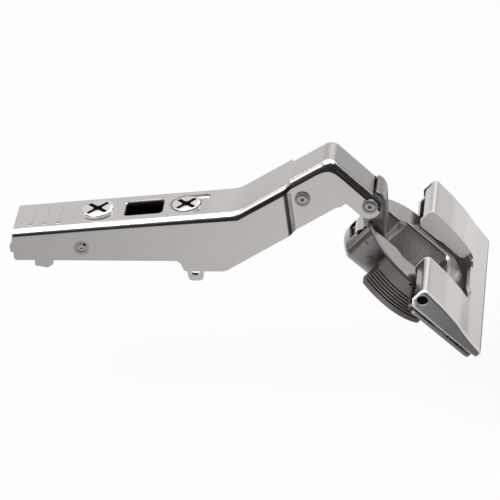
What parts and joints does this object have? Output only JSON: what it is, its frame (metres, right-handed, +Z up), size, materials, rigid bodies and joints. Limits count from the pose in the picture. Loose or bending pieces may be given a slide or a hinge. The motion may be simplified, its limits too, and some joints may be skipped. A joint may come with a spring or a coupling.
{
  "type": "angled clip hinge",
  "caption": "Concealed cabinet hinge for a door at 45 degrees, with a folded cranked arm, a clip-on carrier, two links and a press-in boss closed by a flip lever.",
  "frame": {"origin": "middle of the carrier's face that rests on the mounting plate", "axes": "+X along the arm towards the boss, +Y along the pivots, +Z up out of the mounting plate"},
  "size_m": [0.1324, 0.062, 0.0482],
  "materials": {
    "plated_steel": "nickel-plated folded sheet, satin",
    "bright_steel": "nickel-plated turned steel, smoother",
    "spring_steel": "drawn spring wire",
    "dark_steel": "blackened steel",
    "jaw_metal": "nickel-plated die casting, matte"
  },
  "bodies": {
    "carrier": {"clip_carrier": "plated_steel", "clip_lever_pin": "bright_steel", "clip_lever_spring": "spring_steel"},
    "clip_lever": {"clip_lever": "plated_steel"},
    "slider": {"rear_pivot_pin": "bright_steel"},
    "arm": {"hinge_arm": "plated_steel", "outer_link_rivet": "bright_steel", "inner_link_rivet": "bright_steel"},
    "depth_cam": {"depth_cam": "bright_steel"},
    "side_screw": {"side_screw": "bright_steel"},
    "outer_link": {"outer_link": "plated_steel"},
    "inner_link": {"inner_link": "plated_steel"},
    "boss": {"boss_cup": "plated_steel", "boss_plate": "plated_steel", "cup_pin_outer": "bright_steel", "cup_pin_inner": "bright_steel", "closing_spring": "spring_steel", "lever_pin_near": "dark_steel", "lever_pin_far": "dark_steel"},
    "flip_lever": {"flip_lever": "plated_steel"},
    "jaw_near": {"jaw_near": "jaw_metal"},
    "jaw_far": {"jaw_far": "jaw_metal"}
  },
  "joints": [
    {"name": "depth_slide", "type": "slide", "parent": "carrier", "child": "slider", "axis": [1, 0, 0], "range_m": [-0.002, 0.003]},
    {"name": "side_tilt", "type": "hinge", "parent": "slider", "child": "arm", "pos_m": [-0.00573, 0, -0.0018], "axis": [0, -1, 0], "range_deg": [-1.4, 1.4]},
    {"name": "depth_cam_turn", "type": "hinge", "parent": "arm", "child": "depth_cam", "pos_m": [-0.0015, 0, 0.0053], "axis": [-0.0955, 0, 0.9954], "range_deg": [-144.5, 216.5]},
    {"name": "side_screw_turn", "type": "hinge", "parent": "arm", "child": "side_screw", "pos_m": [0.0234, 0, 0.00769], "axis": [-0.0955, 0, 0.9954], "range_deg": [-256.5, 256.5]},
    {"name": "clip_lever_press", "type": "hinge", "parent": "carrier", "child": "clip_lever", "pos_m": [-0.0174, 0, -0.0023], "axis": [0, 1, 0], "range_deg": [0, 10], "stiffness_Nm_per_rad": 0.15, "springref_deg": -17.19},
    {"name": "outer_link_swing", "type": "hinge", "parent": "arm", "child": "outer_link", "pos_m": [0.07513, 0, 0.01096], "axis": [0, -1, 0], "range_deg": [-7.13, 0.49]},
    {"name": "door_swing", "type": "hinge", "parent": "outer_link", "child": "boss", "pos_m": [0.07437, 0, -0.00534], "axis": [0, -1, 0], "range_deg": [-6.48, 96.12]},
    {"name": "inner_link_swing", "type": "hinge", "parent": "arm", "child": "inner_link", "pos_m": [0.05656, 0, 0.01314], "axis": [0, -1, 0], "range_deg": [-20.61, 1.4]},
    {"name": "flip_lever_turn", "type": "hinge", "parent": "boss", "child": "flip_lever", "pos_m": [0.09051, 0, -0.00467], "axis": [0, -1, 0], "range_deg": [0, 65]},
    {"name": "jaw_near_slide", "type": "slide", "parent": "boss", "child": "jaw_near", "axis": [0, 1, 0], "range_m": [0, 0.001]},
    {"name": "jaw_far_slide", "type": "slide", "parent": "boss", "child": "jaw_far", "axis": [0, -1, 0], "range_m": [0, 0.001]}
  ],
  "couplings": [
    {"joint": "depth_cam_turn", "follows": "depth_slide", "rad_per_m": 1256.6},
    {"joint": "side_screw_turn", "follows": "side_tilt", "ratio": 183},
    {"joint": "outer_link_swing", "follows": "door_swing", "ratio": -0.074074},
    {"joint": "inner_link_swing", "follows": "door_swing", "ratio": -0.21435},
    {"joint": "jaw_near_slide", "follows": "flip_lever_turn", "m_per_rad": 0.00087971},
    {"joint": "jaw_far_slide", "follows": "flip_lever_turn", "m_per_rad": 0.00087971}
  ]
}
